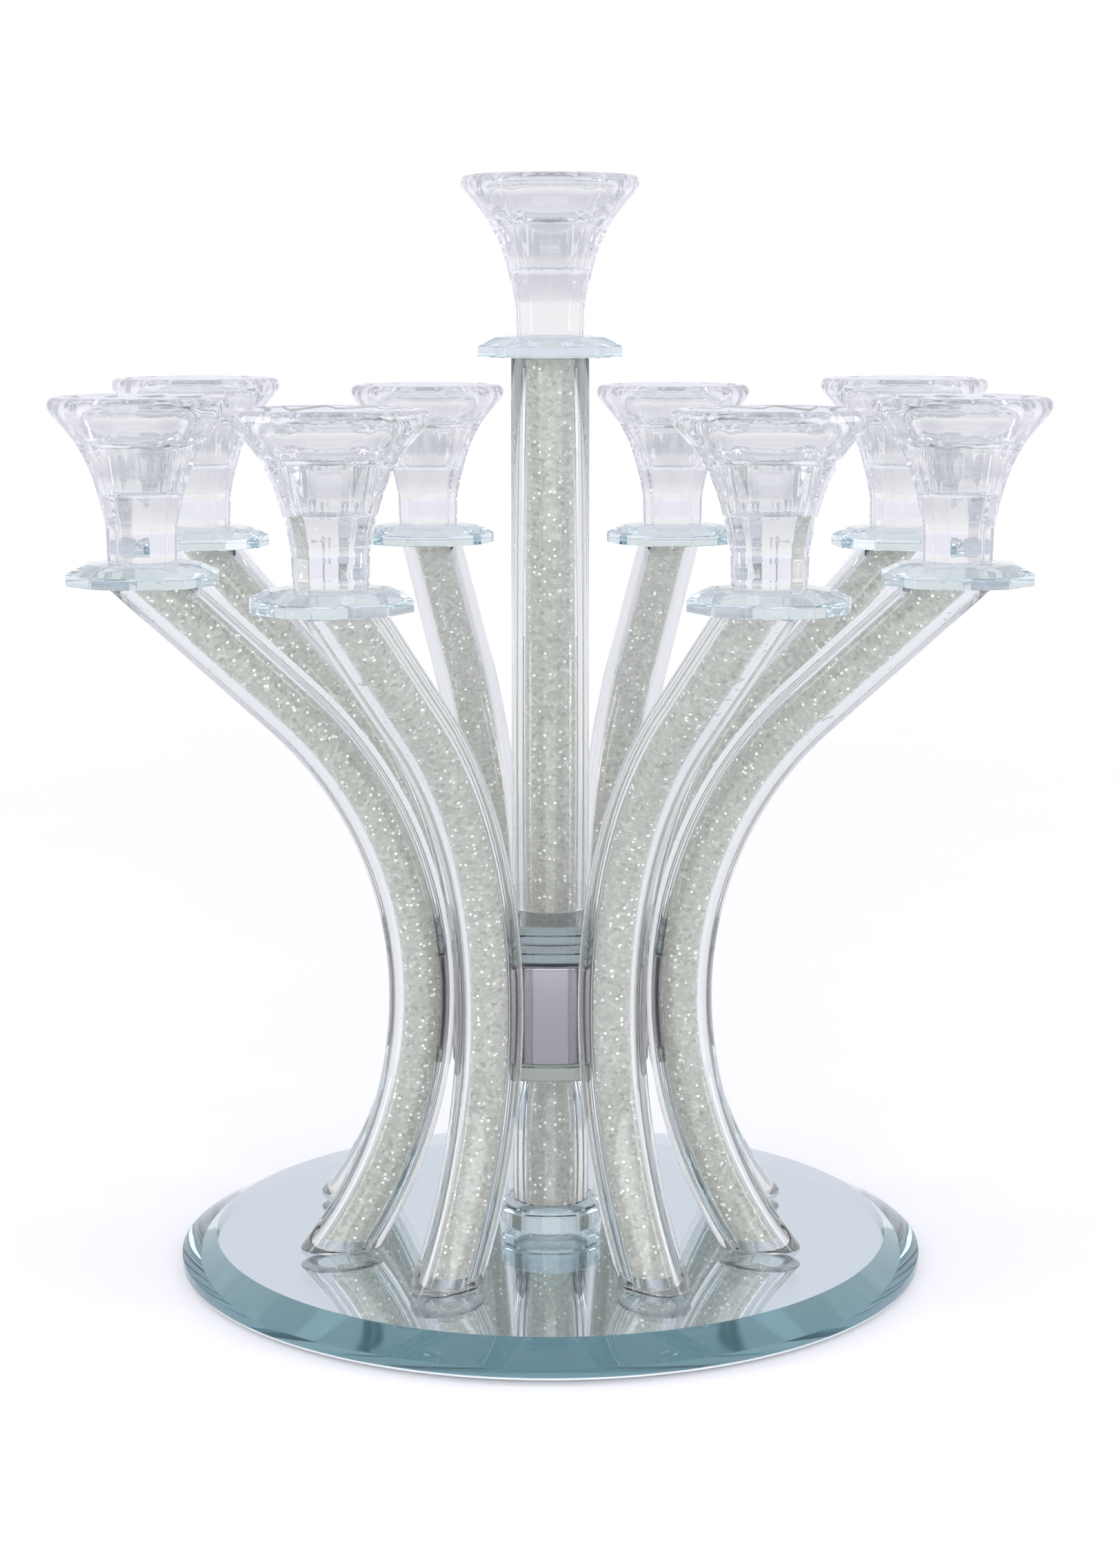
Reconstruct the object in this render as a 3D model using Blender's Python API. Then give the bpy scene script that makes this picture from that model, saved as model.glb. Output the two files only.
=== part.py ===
"""A nine-light crystal menorah on a round bevelled mirror base, at real size.

Metres, +Z up, front facing -Y. The origin is under the middle of the base, on the surface
that the menorah stands on. A straight centre column carries the raised middle light. Four
pairs of bent glass arms stand on the base, lean in against a chrome ring at the waist and
spread out again, each carrying a faceted disc and a pressed-glass candle cup. Tubes and
arms are bored through and packed with crushed crystal. Nothing moves: every joint is glued.
"""

import math

import bmesh
import bpy
from mathutils import Vector

MM = 0.001
GAP = 0.3 * MM

# Mirror base
BASE_RADIUS = 125 * MM
BASE_THICKNESS = 9 * MM
BEVEL_WIDTH = 11.6 * MM
BASE_EDGE_HEIGHT = 3.4 * MM
PAD_RADIUS = 112 * MM
PAD_THICKNESS = 1.0 * MM
SILVERING_RADIUS = 124 * MM
SILVERING_THICKNESS = 0.5 * MM

# Centre column
COLUMN_RADIUS = 12.8 * MM
COLUMN_BORE = 8.4 * MM
COLUMN_FOOT_RADIUS = 17 * MM
COLUMN_FOOT_THICKNESS = 8 * MM
CENTRE_SEAT_HEIGHT = 310.5 * MM

# Hub at the waist
RING_RADIUS = 34.7 * MM
RING_WALL = 3.0 * MM
RING_BOTTOM = 75.0 * MM
RING_HEIGHT = 33.0 * MM
HUB_PLATE_RADIUS = 33 * MM
HUB_PLATE_THICKNESS = 6 * MM

# Bent arms: two bends that meet upright at the waist, then a straight run up to the disc
ARM_RADIUS = 10.9 * MM
ARM_BORE = 6.2 * MM
WAIST_RADIUS = 46 * MM
WAIST_HEIGHT = 95.5 * MM
UPPER_BEND = 133 * MM
UPPER_BEND_ANGLE = math.radians(47)
LOWER_BEND = 138 * MM
LIGHT_CIRCLE = 136.5 * MM
FOOT_PLUG = 3 * MM

# Each pair of arms: name, waist azimuth, azimuth of the arm's own plane, light azimuth
# (degrees from the front) and the height of the cup's seat
ARM_PAIRS = (
    ("front_inner", 25.3, 28.6, 27.6, 240.4 * MM),
    ("front_outer", 67.8, 70.4, 68.8, 241.4 * MM),
    ("back_outer", 114.0, 117.0, 116.0, 244.0 * MM),
    ("back_inner", 155.5, 163.0, 160.5, 239.6 * MM),
)

# Faceted discs under the cups
DISC_FACETS = 10
DISC_HEIGHT = 7.0 * MM
DISC_OUTLINE = (
    (24.5 * MM, 0),
    (24.5 * MM, 3.6 * MM),
    (18.5 * MM, 6.4 * MM),
    (12.8 * MM, DISC_HEIGHT),
)

# Candle cups: outer ridge radius against height, then the two stepped seats inside
CUP_FLUTES = 12
CUP_OUTLINE = (
    (11.2, 0.0),
    (11.6, 11.5),
    (13.1, 18.0),
    (16.2, 28.5),
    (21.2, 37.8),
    (27.6, 45.0),
    (28.9, 48.0),
    (28.1, 50.8),
)
TEALIGHT_TOP_RADIUS = 19.7 * MM
TEALIGHT_FLOOR_RADIUS = 18.4 * MM
TEALIGHT_DEPTH = 12.6 * MM
SOCKET_TOP_RADIUS = 11.2 * MM
SOCKET_FLOOR_RADIUS = 10.2 * MM
SOCKET_DEPTH = 16.0 * MM
RIM_LIP_RADIUS = 25.6 * MM
RIM_LIP_DROP = 1.2 * MM

# Fineness of the plain solids
ROUND_SIDES = 48
COLUMN_SIDES = 24
ARM_SIDES = 12
ARM_STEPS = 14
COLUMN_CORE_SIDES = 16


def clear_scene():
    for old in list(bpy.data.objects):
        bpy.data.objects.remove(old, do_unlink=True)


def make_material(name, colour, roughness, metallic=0.0, transmission=0.0):
    material = bpy.data.materials.new(name)
    material.use_nodes = True
    shader = material.node_tree.nodes["Principled BSDF"]
    shader.inputs["Base Color"].default_value = (*colour, 1.0)
    shader.inputs["Roughness"].default_value = roughness
    shader.inputs["Metallic"].default_value = metallic
    shader.inputs["Transmission Weight"].default_value = transmission
    material.diffuse_color = (*colour, 1.0)
    return material


def add_object(name, mesh, material, location=(0, 0, 0), turn=0.0):
    """One named piece, turned about +Z and placed at its location."""
    piece = bpy.data.objects.new(name, mesh)
    bpy.context.scene.collection.objects.link(piece)
    piece.data.materials.clear()
    piece.data.materials.append(material)
    piece.location = location
    piece.rotation_euler = (0, 0, turn)
    return piece


def mesh_from_loops(name, loops, closed_tube, smooth=True):
    """A solid skinned over equal rings of points: capped at both ends, or joined end to start."""
    bm = bmesh.new()
    rings = [[bm.verts.new(point) for point in loop] for loop in loops]
    sides = len(rings[0])
    pairs = list(zip(rings, rings[1:]))
    if closed_tube:
        pairs.append((rings[-1], rings[0]))
    for below, above in pairs:
        for i in range(sides):
            j = (i + 1) % sides
            bm.faces.new((below[i], below[j], above[j], above[i]))
    if not closed_tube:
        bm.faces.new(rings[0][::-1])
        bm.faces.new(rings[-1])
    bmesh.ops.recalc_face_normals(bm, faces=bm.faces)
    mesh = bpy.data.meshes.new(name)
    bm.to_mesh(mesh)
    bm.free()
    if smooth:
        mesh.shade_smooth()
        mesh.set_sharp_from_angle(angle=math.radians(35))
    return mesh


def circle(radius, height, sides, start=0.0):
    step = 2 * math.pi / sides
    return [
        Vector((radius * math.sin(start + i * step), -radius * math.cos(start + i * step), height))
        for i in range(sides)
    ]


def turned(name, profile, sides, through=False, start=0.0, smooth=True):
    """A solid turned about +Z from (radius, height) points, open through the middle if asked."""
    loops = [circle(radius, height, sides, start) for radius, height in profile]
    return mesh_from_loops(name, loops, closed_tube=through, smooth=smooth)


def plate(name, radius, bottom, thickness, chamfer, sides=ROUND_SIDES):
    """A round glass plate with both edges ground to a small chamfer."""
    top = bottom + thickness
    profile = (
        (radius - chamfer, bottom),
        (radius, bottom + chamfer),
        (radius, top - chamfer),
        (radius - chamfer, top),
    )
    return turned(name, profile, sides)


def pipe(name, outer, inner, bottom, top, sides):
    profile = ((outer, bottom), (outer, top), (inner, top), (inner, bottom))
    return turned(name, profile, sides, through=True)


def build_base(materials):
    """Felt pad, silvering and bevelled plate glass, one on the other. Returns the glass top."""
    pad = plate("felt_pad", PAD_RADIUS, 0, PAD_THICKNESS, 0.2 * MM)
    add_object("base_felt_pad", pad, materials["felt"])
    silver_bottom = PAD_THICKNESS + GAP
    silvering = plate(
        "silvering", SILVERING_RADIUS, silver_bottom, SILVERING_THICKNESS, 0.1 * MM
    )
    add_object("base_mirror_silvering", silvering, materials["silvering"])
    glass_bottom = silver_bottom + SILVERING_THICKNESS + GAP
    glass_top = glass_bottom + BASE_THICKNESS
    arris = 0.5 * MM
    profile = (
        (BASE_RADIUS - arris, glass_bottom),
        (BASE_RADIUS, glass_bottom + arris),
        (BASE_RADIUS, glass_bottom + BASE_EDGE_HEIGHT),
        (BASE_RADIUS - BEVEL_WIDTH, glass_top),
    )
    glass = turned("base_glass", profile, ROUND_SIDES)
    add_object("base_bevelled_glass", glass, materials["base_glass"])
    return glass_top


def build_column(materials, base_top):
    """Foot disc, lower tube, hub and upper tube, stacked with a glue line between each."""
    foot_bottom = base_top + GAP
    foot = plate("foot_disc", COLUMN_FOOT_RADIUS, foot_bottom, COLUMN_FOOT_THICKNESS, 0.6 * MM)
    add_object("column_foot_disc", foot, materials["edge_glass"])

    lower_plate_bottom = RING_BOTTOM - GAP - HUB_PLATE_THICKNESS
    add_column_tube(
        "lower_column",
        foot_bottom + COLUMN_FOOT_THICKNESS + GAP,
        lower_plate_bottom - GAP,
        materials,
    )
    lower_plate = plate(
        "lower_plate", HUB_PLATE_RADIUS, lower_plate_bottom, HUB_PLATE_THICKNESS, 0.6 * MM
    )
    add_object("hub_lower_plate", lower_plate, materials["edge_glass"])

    ring_top = RING_BOTTOM + RING_HEIGHT
    ring = pipe("ring", RING_RADIUS, RING_RADIUS - RING_WALL, RING_BOTTOM, ring_top, ROUND_SIDES)
    add_object("hub_chrome_ring", ring, materials["chrome"])

    stack_top = ring_top
    for level in ("middle", "upper"):
        bottom = stack_top + GAP
        hub_plate = plate(
            level + "_plate", HUB_PLATE_RADIUS, bottom, HUB_PLATE_THICKNESS, 0.6 * MM
        )
        add_object("hub_" + level + "_plate", hub_plate, materials["edge_glass"])
        stack_top = bottom + HUB_PLATE_THICKNESS
    add_column_tube(
        "upper_column",
        stack_top + GAP,
        CENTRE_SEAT_HEIGHT - DISC_HEIGHT - GAP,
        materials,
    )


def add_column_tube(name, bottom, top, materials):
    tube = pipe(name + "_tube", COLUMN_RADIUS, COLUMN_BORE, bottom, top, COLUMN_SIDES)
    add_object(name + "_tube", tube, materials["glass"])
    core_radius = COLUMN_BORE - GAP
    core = turned(name + "_core", ((core_radius, bottom), (core_radius, top)), COLUMN_CORE_SIDES)
    add_object(name + "_crystals", core, materials["crystals"])


def waist_to_top(rise):
    """Distance that the arm has moved outward at a height above the waist."""
    bend_rise = UPPER_BEND * math.sin(UPPER_BEND_ANGLE)
    if rise <= bend_rise:
        return UPPER_BEND - math.sqrt(UPPER_BEND**2 - rise**2)
    bend_reach = UPPER_BEND * (1 - math.cos(UPPER_BEND_ANGLE))
    return bend_reach + (rise - bend_rise) * math.tan(UPPER_BEND_ANGLE)


def arm_stations(bottom, top):
    """(outward, height, lean) of each ring of points, evenly turned along both bends."""
    foot_lean = -math.asin((WAIST_HEIGHT - bottom) / LOWER_BEND)
    stations = []
    for i in range(ARM_STEPS):
        lean = foot_lean + (UPPER_BEND_ANGLE - foot_lean) * i / (ARM_STEPS - 1)
        if lean < 0:
            out = LOWER_BEND * (1 - math.cos(lean))
            height = WAIST_HEIGHT + LOWER_BEND * math.sin(lean)
        else:
            out = UPPER_BEND * (1 - math.cos(lean))
            height = WAIST_HEIGHT + UPPER_BEND * math.sin(lean)
        stations.append((out, height, lean))
    stations.append((waist_to_top(top - WAIST_HEIGHT), top, UPPER_BEND_ANGLE))
    return stations


def arm_rings(radius, sides, bottom, top):
    """Rings across the arm's line. The first and last are cut level, as the arm's ends are."""
    stations = arm_stations(bottom, top)
    rings = []
    for index, (out, height, lean) in enumerate(stations):
        along = Vector((0, -math.sin(lean), math.cos(lean)))
        across = Vector((0, -math.cos(lean), -math.sin(lean)))
        centre = Vector((0, -out, height))
        ring = []
        for i in range(sides):
            angle = 2 * math.pi * i / sides
            point = centre + radius * (math.cos(angle) * across + math.sin(angle) * Vector((1, 0, 0)))
            if index in (0, len(stations) - 1):
                point += along * ((height - point.z) / along.z)
            ring.append(point)
        rings.append(ring)
    return rings


def arm_tube_mesh(name, bottom, top):
    outer = arm_rings(ARM_RADIUS, ARM_SIDES, bottom, top)
    inner = arm_rings(ARM_BORE, ARM_SIDES, bottom, top)
    return mesh_from_loops(name, outer + inner[::-1], closed_tube=True)


def arm_core_mesh(name, bottom, top):
    rings = arm_rings(ARM_BORE - 2 * GAP, ARM_SIDES, bottom + FOOT_PLUG, top)
    return mesh_from_loops(name, rings, closed_tube=False)


def disc_mesh():
    return turned("disc", DISC_OUTLINE, DISC_FACETS, smooth=False)


def cup_mesh():
    """Fluted flaring cup: a wide recess for a tealight over a narrow socket for a taper."""
    outline = [(radius * MM, height * MM) for radius, height in CUP_OUTLINE]
    rim_top = outline[-1][1]
    lip_height = rim_top - RIM_LIP_DROP
    ledge = lip_height - TEALIGHT_DEPTH
    flat_to_corner = 1 / math.cos(math.pi / CUP_FLUTES)
    inside = [
        (RIM_LIP_RADIUS, rim_top),
        (TEALIGHT_TOP_RADIUS * flat_to_corner, lip_height),
        (TEALIGHT_FLOOR_RADIUS * flat_to_corner, ledge),
        (SOCKET_TOP_RADIUS * flat_to_corner, ledge - 0.5 * MM),
        (SOCKET_FLOOR_RADIUS * flat_to_corner, ledge - SOCKET_DEPTH),
    ]
    return turned("cup", outline + inside, CUP_FLUTES)


def polar(radius, azimuth, height=0.0):
    """A point at an azimuth measured from the front, positive towards +X."""
    return Vector((radius * math.sin(azimuth), -radius * math.cos(azimuth), height))


def build_arms(materials, base_top, disc, cup):
    """Four mirrored pairs of arms, each with its own disc and cup."""
    bottom = base_top + GAP
    for pair, waist_azimuth, plane_azimuth, light_azimuth, seat in ARM_PAIRS:
        top = seat - DISC_HEIGHT - GAP
        tube = arm_tube_mesh(pair + "_tube", bottom, top)
        core = arm_core_mesh(pair + "_core", bottom, top)
        for side, sign in (("left", -1), ("right", 1)):
            name = pair + "_" + side
            waist = polar(WAIST_RADIUS, sign * math.radians(waist_azimuth))
            turn = sign * math.radians(plane_azimuth)
            add_object("arm_tube_" + name, tube, materials["glass"], waist, turn)
            add_object("arm_crystals_" + name, core, materials["crystals"], waist, turn)
            light = sign * math.radians(light_azimuth)
            disc_place = polar(LIGHT_CIRCLE, light, seat - DISC_HEIGHT)
            add_object("disc_" + name, disc, materials["edge_glass"], disc_place, light)
            cup_place = polar(LIGHT_CIRCLE, light, seat + GAP)
            add_object("candle_cup_" + name, cup, materials["glass"], cup_place, light)


def build_centre_light(materials, disc, cup):
    disc_place = (0, 0, CENTRE_SEAT_HEIGHT - DISC_HEIGHT)
    add_object("disc_centre", disc, materials["edge_glass"], disc_place)
    add_object("candle_cup_centre", cup, materials["glass"], (0, 0, CENTRE_SEAT_HEIGHT + GAP))


def main():
    clear_scene()
    materials = {
        "glass": make_material("clear_glass", (0.86, 0.87, 0.92), 0.02, transmission=1.0),
        "edge_glass": make_material("teal_edge_glass", (0.66, 0.80, 0.82), 0.02, transmission=1.0),
        "base_glass": make_material("plate_glass", (0.30, 0.45, 0.48), 0.02, transmission=1.0),
        "crystals": make_material("crushed_crystal", (0.72, 0.74, 0.68), 0.15),
        "silvering": make_material("mirror_silver", (0.80, 0.84, 0.90), 0.01, metallic=1.0),
        "chrome": make_material("polished_chrome", (0.75, 0.73, 0.74), 0.04, metallic=1.0),
        "felt": make_material("grey_felt", (0.25, 0.25, 0.26), 0.9),
    }
    base_top = build_base(materials)
    build_column(materials, base_top)
    disc = disc_mesh()
    cup = cup_mesh()
    build_centre_light(materials, disc, cup)
    build_arms(materials, base_top, disc, cup)


main()
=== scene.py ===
"""The looks of a nine-light crystal menorah: glass, crushed crystal, mirror, chrome and light."""

import math
import random

import bmesh
import bpy
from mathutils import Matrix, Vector


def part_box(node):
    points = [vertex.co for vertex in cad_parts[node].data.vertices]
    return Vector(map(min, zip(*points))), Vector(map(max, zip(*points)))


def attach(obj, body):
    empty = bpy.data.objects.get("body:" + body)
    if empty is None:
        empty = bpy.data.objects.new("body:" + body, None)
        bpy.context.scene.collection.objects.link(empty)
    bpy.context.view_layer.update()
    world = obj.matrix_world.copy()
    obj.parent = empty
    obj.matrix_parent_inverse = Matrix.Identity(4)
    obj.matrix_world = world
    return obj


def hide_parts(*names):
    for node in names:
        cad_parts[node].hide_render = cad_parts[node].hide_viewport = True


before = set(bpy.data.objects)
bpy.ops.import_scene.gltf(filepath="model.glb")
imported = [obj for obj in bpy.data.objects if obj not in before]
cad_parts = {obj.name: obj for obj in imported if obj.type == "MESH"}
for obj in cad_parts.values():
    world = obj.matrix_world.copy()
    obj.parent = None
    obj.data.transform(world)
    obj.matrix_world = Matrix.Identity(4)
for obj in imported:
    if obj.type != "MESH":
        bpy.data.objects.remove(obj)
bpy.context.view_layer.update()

MM = 0.001
BODY = "root"
SEED = 1808

# Bent arms, as in the CAD: two bends that meet upright at the waist, then a straight run
ARM_RADIUS = 10.9 * MM
ARM_BORE = 6.2 * MM
WAIST_RADIUS = 46 * MM
WAIST_HEIGHT = 95.5 * MM
UPPER_BEND = 133 * MM
UPPER_BEND_ANGLE = math.radians(47)
LOWER_BEND = 138 * MM
LOWER_BEND_ANGLE = 0.65
STRAIGHT_RUN = 58 * MM
FOOT_PLUG = 3 * MM
# name, waist azimuth and azimuth of the arm's own plane, in degrees from the front
ARM_PAIRS = (
    ("front_inner", 25.3, 28.6),
    ("front_outer", 67.8, 70.4),
    ("back_outer", 114.0, 117.0),
    ("back_inner", 155.5, 163.0),
)
# Rough length of each section, which only sets how many rings it gets
ARM_SECTIONS = (
    ("foot", LOWER_BEND * LOWER_BEND_ANGLE),
    ("bend", UPPER_BEND * UPPER_BEND_ANGLE),
    ("straight", STRAIGHT_RUN),
)
ARM_SIDES = 48
ARM_RING_SPACING = 5 * MM
# The ground edge of an arm's foot: (rise, inset) as shares of its size
FOOT_EDGE = 0.6 * MM
FOOT_EDGE_OUTLINE = ((0.0, 1.0), (0.12, 0.55), (0.35, 0.22), (0.65, 0.05))
BORE_EDGE = 0.4 * FOOT_EDGE

# Crushed crystal: rows of broken facets, which stand clear of the bore
CRYSTAL_GAP = 0.12 * MM
CRYSTAL_RELIEF = 0.3 * MM
RELIEF_POWER = 1.5
CHIP_ROW = 1.15 * MM
CHIP_TURN = 0.35
CHIP_RISE = 0.4 * MM
ARM_CHIPS = 24
COLUMN_CHIPS = 34

COLUMN_RADIUS = 12.8 * MM
COLUMN_BORE = 8.4 * MM
COLUMN_SIDES = 64
COLUMN_EDGE = 0.5 * MM
COLUMN_EDGE_MIDDLE = 0.3 * COLUMN_EDGE

RING_WALL = 3.0 * MM
RING_LOWER_EDGE = 0.6 * MM
RING_UPPER_EDGE = 1.4 * MM
RING_EDGE_STEPS = 6

DISC_FACETS = 10
DISC_OUTLINE = ((24.5, 0), (24.5, 3.6), (18.5, 6.4), (12.8, 7.0))
DISC_EDGE = 0.25 * MM
DISC_SHARP_ANGLE = math.radians(12)

# node, look
PLATE_LOOKS = (
    ("column_foot_disc", "plate"),
    ("hub_lower_plate", "ring_seat"),
    ("hub_middle_plate", "hub_plate"),
    ("hub_upper_plate", "hub_plate"),
)
PLATE_SIDES = 128
PLATE_CHAMFER = 0.7 * MM

BASE_SIDES = 256
BEVEL_WIDTH = 11.6 * MM
BASE_EDGE_HEIGHT = 3.4 * MM
BASE_ARRIS = 0.5 * MM
BEVEL_SOFTENING = 0.3 * MM
SILVER_GAP = 0.02 * MM
SILVER_CHAMFER = 0.05 * MM
FELT_CHAMFER = 0.25 * MM

# Candle cup: height and ridge radius outside, with flat flutes between the ridges, and the
# round stepped seats inside
CUP_FLUTES = 12
CUP_SIDES = CUP_FLUTES * 10
CUP_STEPS = 3
RIDGE_ROUNDING = 0.1
CUP_OUTSIDE = (
    (0.0, 10.6),
    (0.4, 11.2),
    (6.0, 11.35),
    (11.5, 11.65),
    (18.0, 13.1),
    (23.5, 14.6),
    (28.5, 16.3),
    (33.5, 18.7),
    (37.8, 21.2),
    (41.5, 24.2),
    (44.8, 27.3),
    (46.8, 28.6),
    (48.2, 28.9),
    (49.4, 28.7),
    (50.2, 28.1),
    (50.7, 27.1),
    (50.8, 26.2),
)
CUP_INSIDE = (
    (50.8, 25.2),
    (50.5, 24.4),
    (49.6, 22.9),
    (47.5, 21.0),
    (44.0, 20.1),
    (38.6, 18.9),
    (37.6, 18.5),
    (37.1, 17.9),
    (37.0, 12.4),
    (36.8, 11.6),
    (36.0, 11.1),
    (28.0, 10.7),
    (22.2, 10.3),
    (21.3, 9.9),
    (21.0, 9.0),
)

FLOOR_RADIUS = 20
FLOOR_SIDES = 96
FLOOR_DROP = 0.2 * MM
# name, place, point that it faces, size, watts
SOFTBOXES = (
    ("softbox_left", (-1.0, -0.1, 0.65), (0, 0, 0.15), (0.16, 1.3), 3),
    ("softbox_right", (1.0, -0.1, 0.65), (0, 0, 0.15), (0.16, 1.3), 3),
    ("softbox_front", (0, -1.3, 0.70), (0, 0, 0.05), (1.8, 0.8), 9),
)
CAMERA_PLACE = (0, -0.9647, 0.3241)
CAMERA_TILT = math.radians(90 - 9.51)
CAMERA_TURN = math.radians(-0.19)
CAMERA_LENS = 44.89
CAMERA_SENSOR = 24
# Glass turns black where a path runs out of bounces
GLASS_BOUNCES = 48
DIFFUSE_BOUNCES = 4


# ---------------------------------------------------------------- nodes

def add_noise(nodes, links, scale, detail=3.0, upright=1.0):
    """Noise in the piece's own space, drawn out upwards if asked."""
    where = nodes.new("ShaderNodeTexCoord")
    stretch = nodes.new("ShaderNodeMapping")
    stretch.inputs["Scale"].default_value = (1, 1, 1 / upright)
    noise = nodes.new("ShaderNodeTexNoise")
    noise.inputs["Scale"].default_value = scale
    noise.inputs["Detail"].default_value = detail
    noise.inputs["Roughness"].default_value = 0.55
    links.new(where.outputs["Object"], stretch.inputs["Vector"])
    links.new(stretch.outputs["Vector"], noise.inputs["Vector"])
    return noise.outputs["Fac"]


def add_cells(nodes, links, scale):
    """Cells in the piece's own space: distance from the middle, and random values by channel."""
    where = nodes.new("ShaderNodeTexCoord")
    cells = nodes.new("ShaderNodeTexVoronoi")
    cells.inputs["Scale"].default_value = scale
    links.new(where.outputs["Object"], cells.inputs["Vector"])
    values = nodes.new("ShaderNodeSeparateColor")
    links.new(cells.outputs["Color"], values.inputs["Color"])
    return cells.outputs["Distance"], values.outputs


def add_range(nodes, links, source, low, high, start=0.0, end=1.0, easing="LINEAR"):
    """Goes from low to high while the source goes from start to end."""
    spread = nodes.new("ShaderNodeMapRange")
    spread.interpolation_type = easing
    spread.inputs["From Min"].default_value = start
    spread.inputs["From Max"].default_value = end
    spread.inputs["To Min"].default_value = low
    spread.inputs["To Max"].default_value = high
    links.new(source, spread.inputs["Value"])
    return spread.outputs["Result"]


def add_ramp(nodes, links, source, first, last, *between):
    """A colour for each value of the source, from stops of (position, colour)."""
    ramp = nodes.new("ShaderNodeValToRGB")
    stops = ramp.color_ramp.elements
    for stop, (position, colour) in zip((stops[0], stops[1]), (first, last)):
        stop.position = position
        stop.color = (*colour, 1)
    for position, colour in between:
        stops.new(position).color = (*colour, 1)
    links.new(source, ramp.inputs["Fac"])
    return ramp.outputs["Color"]


def add_test(nodes, links, operation, source, limit):
    """1 where the source passes the test against the limit, and 0 elsewhere."""
    test = nodes.new("ShaderNodeMath")
    test.operation = operation
    test.inputs[1].default_value = limit
    links.new(source, test.inputs[0])
    return test.outputs["Value"]


def add_vector_math(nodes, links, operation, first, second):
    step = nodes.new("ShaderNodeVectorMath")
    step.operation = operation
    links.new(first, step.inputs[0])
    links.new(second, step.inputs[1])
    return step.outputs["Vector"]


def add_bump(nodes, links, shader, height, strength, distance):
    bump = nodes.new("ShaderNodeBump")
    bump.inputs["Strength"].default_value = strength
    bump.inputs["Distance"].default_value = distance
    links.new(height, bump.inputs["Height"])
    links.new(bump.outputs["Normal"], shader.inputs["Normal"])


# ---------------------------------------------------------------- materials

def new_material(name):
    material = bpy.data.materials.new(name)
    material.use_nodes = True
    nodes = material.node_tree.nodes
    return material, nodes, material.node_tree.links, nodes["Principled BSDF"]


def glass(name, colour, absorb, density, wave_scale, wave_depth=0.00001, upright=1.0):
    """Polished glass with a faint waviness, tinted at its surface and through its depth."""
    material, nodes, links, shader = new_material(name)
    shader.inputs["Base Color"].default_value = (*colour, 1)
    shader.inputs["Transmission Weight"].default_value = 1.0
    shader.inputs["IOR"].default_value = 1.5
    waves = add_noise(nodes, links, wave_scale, upright=upright)
    links.new(add_range(nodes, links, waves, 0.0, 0.02), shader.inputs["Roughness"])
    add_bump(nodes, links, shader, waves, 1.0, wave_depth)
    volume = nodes.new("ShaderNodeVolumeAbsorption")
    volume.inputs["Color"].default_value = (*absorb, 1)
    volume.inputs["Density"].default_value = density
    links.new(volume.outputs["Volume"], nodes["Material Output"].inputs["Volume"])
    return material


def crushed_crystal():
    """Broken crystal: every chip its own pale grey-green, with painted glints among them: small
    white cells that also glow more.

    The light that real chips pass on to each other is a weak glow here.
    """
    material, nodes, links, shader = new_material("crushed_crystal_look")
    chip_distance, chip_values = add_cells(nodes, links, 820)
    chips = add_ramp(
        nodes, links, chip_values["Red"],
        (0.0, (0.31, 0.335, 0.265)), (1.0, (0.88, 0.89, 0.80)),
        (0.15, (0.485, 0.515, 0.43)), (0.85, (0.67, 0.695, 0.605)),
    )

    # Painted glints: a few small cells are painted white and made to glow, standing in for
    # highlights on the chips' facets
    glint_distance, glint_values = add_cells(nodes, links, 680)
    chosen = add_test(nodes, links, "GREATER_THAN", glint_values["Red"], 0.80)
    small = add_test(nodes, links, "LESS_THAN", glint_distance, 0.30)
    painted_glint = nodes.new("ShaderNodeMath")
    painted_glint.operation = "MULTIPLY"
    links.new(chosen, painted_glint.inputs[0])
    links.new(small, painted_glint.inputs[1])
    colour = nodes.new("ShaderNodeMix")
    colour.data_type = "RGBA"
    links.new(painted_glint.outputs["Value"], colour.inputs["Factor"])
    links.new(chips, colour.inputs["A"])
    colour.inputs["B"].default_value = (1, 1, 0.99, 1)
    links.new(colour.outputs["Result"], shader.inputs["Base Color"])
    shader.inputs["Emission Color"].default_value = (1, 1, 0.96, 1)
    # The painted glints glow more strongly than the weak glow of the other chips
    glow = add_range(nodes, links, painted_glint.outputs["Value"], 0.25, 0.75)
    links.new(glow, shader.inputs["Emission Strength"])

    gloss = add_range(nodes, links, chip_values["Green"], 0.05, 0.35)
    links.new(gloss, shader.inputs["Roughness"])
    shader.inputs["IOR"].default_value = 1.75
    add_bump(nodes, links, shader, chip_distance, 0.6, 0.0005)
    return material


def metal(name, colour, low, high, scale, bump_depth):
    """Polished metal, whose roughness drifts between low and high."""
    material, nodes, links, shader = new_material(name)
    shader.inputs["Base Color"].default_value = (*colour, 1)
    shader.inputs["Metallic"].default_value = 1.0
    noise = add_noise(nodes, links, scale)
    links.new(add_range(nodes, links, noise, low, high), shader.inputs["Roughness"])
    add_bump(nodes, links, shader, noise, 0.5, bump_depth)
    return material


def felt():
    material, nodes, links, shader = new_material("grey_felt_look")
    fibres = add_noise(nodes, links, 900, detail=6)
    greys = add_ramp(nodes, links, fibres, (0.0, (0.16, 0.16, 0.17)), (1.0, (0.34, 0.34, 0.35)))
    links.new(greys, shader.inputs["Base Color"])
    shader.inputs["Roughness"].default_value = 0.95
    shader.inputs["Sheen Weight"].default_value = 0.3
    add_bump(nodes, links, shader, fibres, 0.8, 0.0004)
    return material


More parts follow.
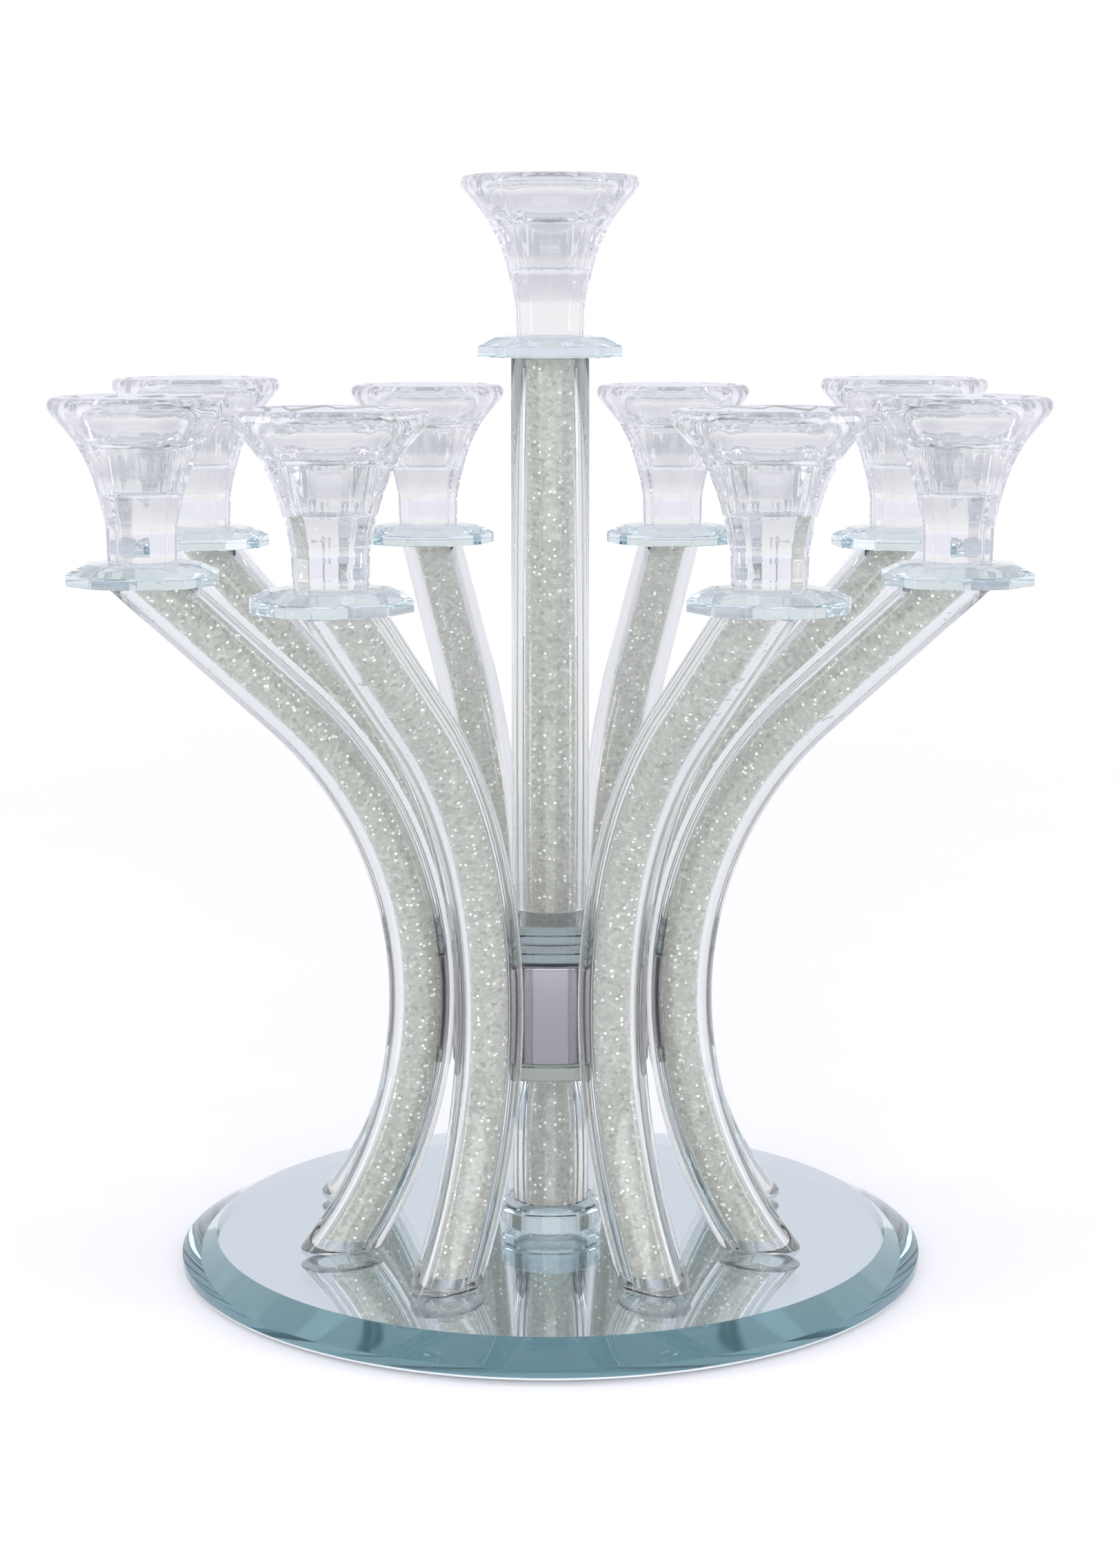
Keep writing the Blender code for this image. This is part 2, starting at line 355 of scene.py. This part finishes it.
def floor_paint():
    """White floor that gives off a little light, more further out, so that it all stays white."""
    material, nodes, links, shader = new_material("floor_look")
    grain = add_noise(nodes, links, 6)
    whites = add_ramp(nodes, links, grain, (0.0, (0.93, 0.93, 0.935)), (1.0, (0.96, 0.96, 0.965)))
    links.new(whites, shader.inputs["Base Color"])
    shader.inputs["Roughness"].default_value = 0.9
    shader.inputs["Emission Color"].default_value = (1, 1, 1, 1)
    where = nodes.new("ShaderNodeTexCoord")
    reach = nodes.new("ShaderNodeVectorMath")
    reach.operation = "LENGTH"
    links.new(where.outputs["Object"], reach.inputs[0])
    glow = add_range(nodes, links, reach.outputs["Value"], 0.06, 0.27, start=0.3, end=1.8)
    links.new(glow, shader.inputs["Emission Strength"])
    return material


LOOKS = {
    "cup": glass(
        "pressed_glass_look", (0.855, 0.86, 0.87), (0.40, 0.41, 0.47), 5, 160, upright=5
    ),
    "tube": glass("tube_glass_look", (0.80, 0.81, 0.805), (0.42, 0.46, 0.43), 3.5, 40),
    "disc": glass("disc_glass_look", (0.81, 0.82, 0.83), (0.60, 0.77, 0.80), 10, 60),
    "plate": glass("foot_plate_look", (0.90, 0.91, 0.91), (0.36, 0.54, 0.57), 17, 60),
    "hub_plate": glass("hub_plate_look", (0.88, 0.885, 0.89), (0.40, 0.49, 0.50), 27, 60),
    "ring_seat": glass("ring_seat_look", (0.82, 0.835, 0.82), (0.50, 0.55, 0.50), 25, 60),
    "base": glass("base_glass_look", (0.97, 0.975, 0.98), (0.27, 0.54, 0.58), 9, 20, 0.000005),
    "crystal": crushed_crystal(),
    "silver": metal("mirror_silver_look", (0.94, 0.98, 1.0), 0.0, 0.02, 30, 0.0),
    # Chrome darkened below its real brightness: painted shade standing in for the greyer
    # surroundings that the ring would reflect
    "chrome": metal("chrome_with_painted_shade_look", (0.31, 0.30, 0.315), 0.03, 0.10, 120, 0.00001),
    "felt": felt(),
}


# ---------------------------------------------------------------- meshes and pieces

def skin(name, rings, through, smooth_angle=40):
    """A solid over rings with equal counts, capped at its ends or, for a pipe, joined up."""
    bm = bmesh.new()
    made = [[bm.verts.new(point) for point in ring] for ring in rings]
    sides = len(made[0])
    pairs = list(zip(made, made[1:]))
    if through:
        pairs.append((made[-1], made[0]))
    for below, above in pairs:
        for i in range(sides):
            j = (i + 1) % sides
            bm.faces.new((below[i], below[j], above[j], above[i]))
    if not through:
        bm.faces.new(made[0][::-1])
        bm.faces.new(made[-1])
    bmesh.ops.recalc_face_normals(bm, faces=bm.faces)
    mesh = bpy.data.meshes.new(name)
    bm.to_mesh(mesh)
    bm.free()
    if smooth_angle:
        mesh.shade_smooth()
        mesh.set_sharp_from_angle(angle=math.radians(smooth_angle))
    return mesh


def polar(radius, azimuth, height=0.0):
    """A point at an azimuth counted from the front, -Y."""
    return Vector((radius * math.sin(azimuth), -radius * math.cos(azimuth), height))


def ring_at(radius, height, sides):
    step = 2 * math.pi / sides
    return [polar(radius, i * step, height) for i in range(sides)]


def add_object(name, data):
    made = bpy.data.objects.new(name, data)
    bpy.context.scene.collection.objects.link(made)
    return made


def add_piece(name, mesh, look, node, location=(0, 0, 0), turn=0.0):
    """One visible piece in place of a CAD node, riding on the body."""
    piece = add_object(name, mesh)
    piece.location = location
    piece.rotation_euler = (0, 0, turn)
    if not mesh.materials:
        mesh.materials.append(LOOKS[look])
    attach(piece, BODY)
    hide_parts(node)


def middle(node):
    low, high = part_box(node)
    return (low + high) / 2


# ---------------------------------------------------------------- crushed crystal

def chip_azimuth(i, sides, chance):
    return 2 * math.pi * (i + chance.uniform(-CHIP_TURN, CHIP_TURN)) / sides


def chip_radius(bore, chance):
    return bore - CRYSTAL_GAP - CRYSTAL_RELIEF * chance.random() ** RELIEF_POWER


def chip_rise(chance):
    return chance.uniform(-CHIP_RISE, CHIP_RISE)


# ---------------------------------------------------------------- bent arms

def arm_point(radius, around, section, share, bottom, top):
    """A point of the arm's skin. Sections are foot bend, upper bend and straight run, 0 to 1.

    The arm leans along -Y in its own plane. Each line along the skin starts level with the
    others at the foot and ends level with them at the top.
    """
    outward = radius * math.cos(around)
    sideways = radius * math.sin(around)
    if section == "foot":
        lean = math.asin((bottom - WAIST_HEIGHT) / (LOWER_BEND - outward)) * (1 - share)
        reach = LOWER_BEND - (LOWER_BEND - outward) * math.cos(lean)
        height = WAIST_HEIGHT + (LOWER_BEND - outward) * math.sin(lean)
    else:
        lean = UPPER_BEND_ANGLE * (share if section == "bend" else 1)
        reach = UPPER_BEND - (UPPER_BEND - outward) * math.cos(lean)
        height = WAIST_HEIGHT + (UPPER_BEND - outward) * math.sin(lean)
        if section == "straight":
            rise = (top - height) * share
            reach += rise * math.tan(lean)
            height += rise
    return Vector((sideways, -reach, height))


def arm_ring(radius, section, share, bottom, top):
    return [
        arm_point(radius, 2 * math.pi * i / ARM_SIDES, section, share, bottom, top)
        for i in range(ARM_SIDES)
    ]


def arm_stations(spacing):
    """(section, share) of each ring along an arm, about evenly spaced."""
    stations = []
    for section, length in ARM_SECTIONS:
        count = max(2, round(length / spacing))
        first = 1 if stations else 0
        stations += [(section, i / count) for i in range(first, count + 1)]
    return stations


def arm_tube_mesh(name, bottom, top):
    """Thick-walled bent tube, level at both ends, with its foot's edges ground round."""
    def wall(radius, edge):
        rings = [
            arm_ring(radius - inset * edge, "foot", 0, bottom + rise * FOOT_EDGE, top)
            for rise, inset in FOOT_EDGE_OUTLINE
        ]
        rings += [
            arm_ring(radius, section, share, bottom + FOOT_EDGE, top)
            for section, share in arm_stations(ARM_RING_SPACING)
        ]
        return rings

    outer = wall(ARM_RADIUS, FOOT_EDGE)
    inner = wall(ARM_BORE, -BORE_EDGE)
    return skin(name, outer + inner[::-1], through=True)


def arm_crystal_mesh(name, bottom, top, chance):
    """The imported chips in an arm: a column of broken facets just inside the bore."""
    rings = []
    for section, share in arm_stations(CHIP_ROW):
        ring = []
        for i in range(ARM_CHIPS):
            around = chip_azimuth(i, ARM_CHIPS, chance)
            radius = chip_radius(ARM_BORE, chance)
            point = arm_point(radius, around, section, share, bottom + FOOT_PLUG, top)
            rise = chip_rise(chance)
            if 0 < share < 1:
                point.z += rise
            ring.append(point)
        rings.append(ring)
    return skin(name, rings, through=False, smooth_angle=0)


def build_arms():
    """Eight arms in mirrored pairs. The two arms of a pair share their meshes."""
    chance = random.Random(SEED)
    for pair, waist_azimuth, plane_azimuth in ARM_PAIRS:
        low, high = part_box("arm_tube_" + pair + "_left")
        tube = arm_tube_mesh(pair + "_tube", low.z, high.z)
        core = arm_crystal_mesh(pair + "_crystals", low.z, high.z, chance)
        for side, sign in (("left", -1), ("right", 1)):
            name = pair + "_" + side
            waist = polar(WAIST_RADIUS, sign * math.radians(waist_azimuth))
            turn = sign * math.radians(plane_azimuth)
            for piece, mesh, look, node, slot in (
                ("glass_arm_", tube, "tube", "arm_tube_", "clear_glass"),
                ("crushed_crystal_", core, "crystal", "arm_crystals_", "crystals"),
            ):
                add_piece(piece + name, mesh, look, node + name, waist, turn)


# ---------------------------------------------------------------- column and hub

def build_column():
    chance = random.Random(SEED + 1)
    for part in ("lower_column", "upper_column"):
        low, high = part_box(part + "_tube")
        tube = column_tube_mesh(part, low.z, high.z)
        add_piece(part + "_glass", tube, "tube", part + "_tube")
        core = column_crystal_mesh(part + "_core", low.z, high.z, chance)
        add_piece(part + "_crushed_crystal", core, "crystal", part + "_crystals")


def column_tube_mesh(name, bottom, top):
    """Straight thick-walled tube, with all four edges ground round."""
    # inset, distance from the tube's end
    edge = (
        (COLUMN_EDGE, 0.0),
        (COLUMN_EDGE_MIDDLE, COLUMN_EDGE_MIDDLE),
        (0.0, COLUMN_EDGE),
    )
    rings = []
    for radius, sign in ((COLUMN_RADIUS, 1), (COLUMN_BORE, -1)):
        wall = [(radius - sign * inset, bottom + rise) for inset, rise in edge]
        wall += [(radius - sign * inset, top - drop) for inset, drop in edge[::-1]]
        rings += [ring_at(r, z, COLUMN_SIDES) for r, z in wall[::sign]]
    return skin(name, rings, through=True)


def column_crystal_mesh(name, bottom, top, chance):
    """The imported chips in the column, as in an arm."""
    count = round((top - bottom) / CHIP_ROW)
    rings = []
    for row in range(count + 1):
        ring = []
        for i in range(COLUMN_CHIPS):
            radius = chip_radius(COLUMN_BORE, chance)
            around = chip_azimuth(i, COLUMN_CHIPS, chance)
            height = bottom + (top - bottom) * row / count
            if 0 < row < count:
                height += chip_rise(chance)
            ring.append(polar(radius, around, height))
        rings.append(ring)
    return skin(name, rings, through=False, smooth_angle=0)


def plate_mesh(name, radius, bottom, top, chamfer):
    """A round plate with both edges ground to a small flat chamfer."""
    outline = (
        (radius - chamfer, bottom),
        (radius, bottom + chamfer),
        (radius, top - chamfer),
        (radius - chamfer, top),
    )
    rings = [ring_at(r, z, PLATE_SIDES) for r, z in outline]
    return skin(name, rings, through=False, smooth_angle=25)


def build_plates():
    for node, look in PLATE_LOOKS:
        low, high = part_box(node)
        mesh = plate_mesh(node, high.x, low.z, high.z, PLATE_CHAMFER)
        add_piece(node + "_glass", mesh, look, node)


def rolled_edge(outer, corner, size, way):
    """(radius, height) along a quarter-round, from the corner's level to the outer wall."""
    edge = []
    for k in range(RING_EDGE_STEPS + 1):
        turn = math.pi / 2 * k / RING_EDGE_STEPS
        radius = outer - size * (1 - math.sin(turn))
        edge.append((radius, corner + way * size * (1 - math.cos(turn))))
    return edge


def build_ring():
    """Polished ring with rolled edges, the upper one the softer of the two."""
    low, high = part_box("hub_chrome_ring")
    outer, inner = high.x, high.x - RING_WALL
    outline = rolled_edge(outer, low.z, RING_LOWER_EDGE, 1)
    outline += rolled_edge(outer, high.z, RING_UPPER_EDGE, -1)[::-1]
    outline += [(inner, high.z), (inner, low.z)]
    rings = [ring_at(r, z, PLATE_SIDES) for r, z in outline]
    mesh = skin("chrome_ring", rings, through=True, smooth_angle=35)
    add_piece("chrome_waist_ring", mesh, "chrome", "hub_chrome_ring")


# ---------------------------------------------------------------- discs and cups

def build_lights():
    """The disc and cup of all nine lights, each turned to face away from the column."""
    disc = disc_mesh()
    cup = cup_mesh()
    names = ["centre"]
    names += [pair + "_" + side for pair, _, _ in ARM_PAIRS for side in ("left", "right")]
    for name in names:
        place = middle("candle_cup_" + name)
        azimuth = math.atan2(place.x, -place.y) if name != "centre" else 0.0
        for node, mesh, look, slot in (
            ("disc_", disc, "disc", "edge_glass"),
            ("candle_cup_", cup, "cup", "clear_glass"),
        ):
            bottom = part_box(node + name)[0].z
            where = Vector((place.x, place.y, bottom))
            add_piece("glass_" + node + name, mesh, look, node + name, where, azimuth)


def disc_mesh():
    """Ten-sided disc: upright polished edge facets under a wide and a shallow ground bevel."""
    rings = [ring_at(r * MM, z * MM, DISC_FACETS) for r, z in DISC_OUTLINE]
    mesh = skin("faceted_disc", rings, through=False, smooth_angle=0)
    bm = bmesh.new()
    bm.from_mesh(mesh)
    sharp = [edge for edge in bm.edges if edge.calc_face_angle() > DISC_SHARP_ANGLE]
    bmesh.ops.bevel(bm, geom=sharp, offset=DISC_EDGE, segments=2, affect="EDGES", profile=0.5)
    bm.to_mesh(mesh)
    bm.free()
    return mesh


def cup_mesh():
    """Fluted pressed-glass cup, with a tealight recess over a taper socket."""
    rings = []
    for height, radius in smooth_outline(CUP_OUTSIDE, CUP_STEPS):
        rings.append([
            flute_point(radius, height, 2 * math.pi * i / CUP_SIDES) for i in range(CUP_SIDES)
        ])
    for height, radius in CUP_INSIDE:
        rings.append(ring_at(radius * MM, height * MM, CUP_SIDES))
    return skin("fluted_cup", rings, through=False, smooth_angle=32)


def smooth_outline(points, steps):
    """Points along a smooth curve through an outline, with a few steps between its points."""
    curve = []
    last = len(points) - 1
    for k in range(last):
        before, start, end, after = (points[max(0, min(last, k + d))] for d in (-1, 0, 1, 2))
        for i in range(steps):
            t = i / steps
            curve.append(tuple(
                0.5 * (2 * s + (e - b) * t + (2 * b - 5 * s + 4 * e - a) * t**2
                       + (3 * s - b - 3 * e + a) * t**3)
                for b, s, e, a in zip(before, start, end, after)
            ))
    curve.append(points[-1])
    return curve


def flute_point(radius, height, around):
    """Ridges stand at the full radius, a little rounded, and the flutes between are flat."""
    half = math.pi / CUP_FLUTES
    from_middle = (around % (2 * half)) - half
    flat = math.cos(half) / math.cos(from_middle)
    size = radius * min(flat, 1 - RIDGE_ROUNDING * (1 - math.cos(half))) * MM
    return polar(size, around, height * MM)


# ---------------------------------------------------------------- base

def build_base():
    """Bevelled glass, the silvering just under it, and the felt pad."""
    low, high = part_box("base_bevelled_glass")
    radius = high.x
    outline = (
        (radius - BASE_ARRIS, low.z),
        (radius, low.z + BASE_ARRIS),
        (radius, low.z + BASE_EDGE_HEIGHT - 0.2 * MM),
        (radius - BEVEL_SOFTENING, low.z + BASE_EDGE_HEIGHT),
        (radius - BEVEL_WIDTH + BEVEL_SOFTENING, high.z - 0.12 * MM),
        (radius - BEVEL_WIDTH, high.z),
    )
    rings = [ring_at(r, z, BASE_SIDES) for r, z in outline]
    mesh = skin("bevelled_glass", rings, through=False, smooth_angle=18)
    add_piece("mirror_base_glass", mesh, "base", "base_bevelled_glass")

    silver_low, silver_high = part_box("base_mirror_silvering")
    silver_top = low.z - SILVER_GAP
    mesh = plate_mesh("silvering", silver_high.x, silver_low.z, silver_top, SILVER_CHAMFER)
    add_piece("mirror_base_silvering", mesh, "silver", "base_mirror_silvering")

    pad_low, pad_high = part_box("base_felt_pad")
    mesh = plate_mesh("felt_pad", pad_high.x, pad_low.z, pad_high.z, FELT_CHAMFER)
    add_piece("mirror_base_felt", mesh, "felt", "base_felt_pad")


# ---------------------------------------------------------------- stage, light and camera

def build_stage():
    bm = bmesh.new()
    bmesh.ops.create_circle(bm, cap_ends=True, segments=FLOOR_SIDES, radius=FLOOR_RADIUS)
    mesh = bpy.data.meshes.new("floor")
    bm.to_mesh(mesh)
    bm.free()
    mesh.materials.append(floor_paint())
    floor = add_object("floor", mesh)
    floor.location.z = -FLOOR_DROP


def add_softbox(name, place, aim, size, power):
    data = bpy.data.lights.new(name, "AREA")
    data.shape = "RECTANGLE"
    data.size, data.size_y = size
    data.energy = power
    lamp = add_object(name, data)
    lamp.location = place
    lamp.rotation_euler = (Vector(aim) - Vector(place)).to_track_quat("-Z", "Y").to_euler()


def build_light():
    """Surround that is white behind, lavender grey in front and white overhead, and softboxes."""
    world = bpy.data.worlds.new("studio")
    bpy.context.scene.world = world
    world.use_nodes = True
    nodes, links = world.node_tree.nodes, world.node_tree.links
    where = nodes.new("ShaderNodeTexCoord")
    way = nodes.new("ShaderNodeSeparateXYZ")
    links.new(where.outputs["Generated"], way.inputs["Vector"])

    walls = add_ramp(
        nodes, links, add_range(nodes, links, way.outputs["Y"], 0.0, 1.0, start=-1.0),
        (0.0, (0.62, 0.62, 0.67)), (1.0, (1, 1, 1)),
        (0.35, (0.70, 0.70, 0.76)), (0.62, (0.84, 0.84, 0.90)), (0.84, (1, 1, 1)),
    )
    above = add_ramp(
        nodes, links, way.outputs["Z"], (0.12, (1, 1, 1)), (0.28, (0.80, 0.80, 0.86))
    )
    dimmed = add_vector_math(nodes, links, "MULTIPLY", walls, above)
    overhead = add_range(
        nodes, links, way.outputs["Z"], 0.0, 0.28, start=0.60, end=0.85, easing="SMOOTHSTEP"
    )
    total = add_vector_math(nodes, links, "ADD", dimmed, overhead)
    links.new(total, nodes["Background"].inputs["Color"])
    for softbox in SOFTBOXES:
        add_softbox(*softbox)


def build_camera():
    data = bpy.data.cameras.new("camera")
    data.sensor_fit = "VERTICAL"
    data.sensor_height = CAMERA_SENSOR
    data.lens = CAMERA_LENS
    data.clip_start = 0.05
    data.clip_end = 30
    camera = add_object("camera", data)
    camera.location = CAMERA_PLACE
    camera.rotation_euler = (CAMERA_TILT, 0, CAMERA_TURN)
    bpy.context.scene.camera = camera


def set_light_paths():
    scene = bpy.context.scene
    scene.cycles.max_bounces = GLASS_BOUNCES
    scene.cycles.transmission_bounces = GLASS_BOUNCES
    scene.cycles.glossy_bounces = GLASS_BOUNCES
    scene.cycles.diffuse_bounces = DIFFUSE_BOUNCES
    scene.view_settings.view_transform = "Standard"


def main():
    build_base()
    build_column()
    build_plates()
    build_ring()
    build_arms()
    build_lights()
    build_stage()
    build_light()
    build_camera()
    set_light_paths()


main()
